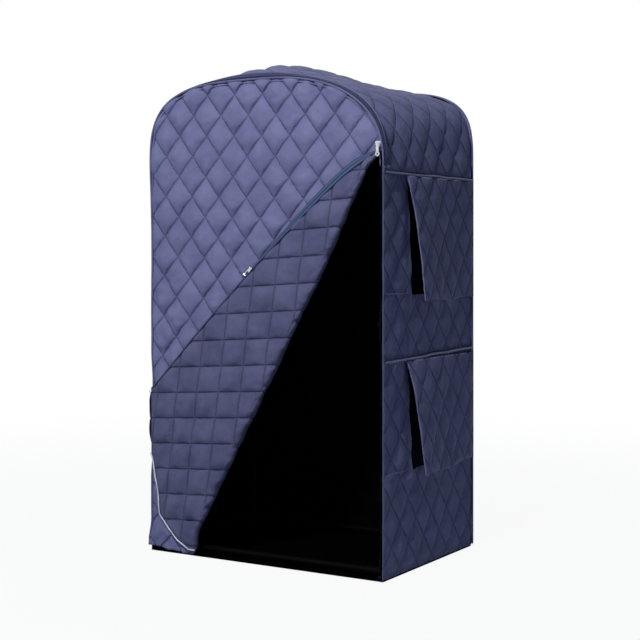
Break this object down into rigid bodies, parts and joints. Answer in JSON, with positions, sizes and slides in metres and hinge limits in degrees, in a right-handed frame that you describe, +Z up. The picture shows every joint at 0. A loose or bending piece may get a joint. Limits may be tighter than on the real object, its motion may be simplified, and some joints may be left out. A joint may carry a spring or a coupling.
{
  "type": "portable steam sauna",
  "caption": "Tall quilted fabric steam cabin with an arched roof, a zipped door folded back to show the dark inside, and flapped arm openings, over a push-together tube frame.",
  "frame": {"origin": "centre of the floor mat's underside", "axes": "+Z up, the door faces -Y, the arm openings face +X"},
  "size_m": [1.0503, 0.735, 1.8157],
  "materials": {
    "quilted_satin": "satin sheen",
    "zip_tape": "woven",
    "piping": "satin",
    "zip_metal": "polished",
    "floor_mat": "matt",
    "inlet_plastic": "matt",
    "connector": "matt",
    "rubber": "matt",
    "bow_rod": "glass fibre, matt",
    "lining": "matt black",
    "white_edge": "satin tape",
    "pole": "satin black"
  },
  "bodies": {
    "tent": {"cover_roof": "quilted_satin", "cover_left_wall": "quilted_satin", "cover_right_wall": "quilted_satin", "cover_rear_panel": "quilted_satin", "door_fixed_panel": "quilted_satin", "door_zip_band": "zip_tape", "front_piping": "piping", "upper_flap_seam": "piping", "lower_flap_seam": "piping", "floor_mat": "floor_mat", "steam_inlet_collar": "inlet_plastic", "front_base_rail": "pole", "rear_base_rail": "pole", "left_base_rail": "pole", "right_base_rail": "pole", "left_mid_rail": "pole", "right_mid_rail": "pole", "left_eave_rail": "pole", "right_eave_rail": "pole", "front_left_lower_post": "pole", "front_right_lower_post": "pole", "rear_left_lower_post": "pole", "rear_right_lower_post": "pole", "front_left_upper_post": "pole", "front_right_upper_post": "pole", "rear_left_upper_post": "pole", "rear_right_upper_post": "pole", "front_left_shoulder_bend": "pole", "front_right_shoulder_bend": "pole", "rear_left_shoulder_bend": "pole", "rear_right_shoulder_bend": "pole", "front_crown_tube": "pole", "rear_crown_tube": "pole", "crown_ferrules": "connector", "left_roof_bow": "bow_rod", "centre_roof_bow": "bow_rod", "right_roof_bow": "bow_rod", "bow_clips": "connector", "front_left_foot_joint": "connector", "front_right_foot_joint": "connector", "rear_left_foot_joint": "connector", "rear_right_foot_joint": "connector", "front_left_mid_joint": "connector", "front_right_mid_joint": "connector", "rear_left_mid_joint": "connector", "rear_right_mid_joint": "connector", "eave_joints": "connector", "rubber_feet": "rubber"},
    "door_fold": {"door_crease_strip": "quilted_satin"},
    "door_flap": {"door_flap_panel": "quilted_satin", "door_flap_tape": "zip_tape"},
    "door_tip": {"door_flap_tip": "quilted_satin"},
    "shoulder_slider": {"shoulder_zip_slider": "zip_metal"},
    "shoulder_pull": {"shoulder_zip_pull": "zip_metal"},
    "flap_slider": {"flap_zip_slider": "zip_metal"},
    "flap_pull": {"flap_zip_pull": "zip_metal"},
    "upper_flap": {"upper_side_flap": "quilted_satin"},
    "lower_flap": {"lower_side_flap": "quilted_satin"}
  },
  "joints": [
    {"name": "door_fold_back", "type": "hinge", "parent": "tent", "child": "door_fold", "pos_m": [0.486, -0.361, 1.465], "axis": [0.4886, 0, 0.8725], "range_deg": [0, 180]},
    {"name": "door_gather", "type": "hinge", "parent": "door_fold", "child": "door_flap", "pos_m": [0.486, -0.376, 1.465], "axis": [0, 1, 0], "range_deg": [0, 9.8]},
    {"name": "door_wrap", "type": "hinge", "parent": "door_flap", "child": "door_tip", "pos_m": [-0.504, -0.364, 0.5], "axis": [0, 0, 1], "range_deg": [0, 90]},
    {"name": "shoulder_slider_slide", "type": "slide", "parent": "tent", "child": "shoulder_slider", "axis": [0, 0, -1], "range_m": [0, 1.43]},
    {"name": "shoulder_pull_swing", "type": "hinge", "parent": "shoulder_slider", "child": "shoulder_pull", "pos_m": [0.483, -0.3649, 1.4895], "axis": [-1, 0, 0], "range_deg": [0, 150]},
    {"name": "flap_slider_slide", "type": "slide", "parent": "door_flap", "child": "flap_slider", "axis": [-0.7279, 0, -0.6857], "range_m": [-0.25, 0.25]},
    {"name": "flap_pull_swing", "type": "hinge", "parent": "flap_slider", "child": "flap_pull", "pos_m": [-0.02639, -0.376, 1.06442], "axis": [0, 1, 0], "range_deg": [0, 150]},
    {"name": "upper_flap_lift", "type": "hinge", "parent": "tent", "child": "upper_flap", "pos_m": [0.5045, 0, 1.385], "axis": [0, -1, 0], "range_deg": [0, 115]},
    {"name": "lower_flap_lift", "type": "hinge", "parent": "tent", "child": "lower_flap", "pos_m": [0.5045, 0, 0.74], "axis": [0, -1, 0], "range_deg": [0, 115]}
  ],
  "couplings": [
    {"joint": "door_gather", "follows": "door_fold_back", "ratio": 0.0544},
    {"joint": "door_wrap", "follows": "door_fold_back", "ratio": 0.5}
  ]
}
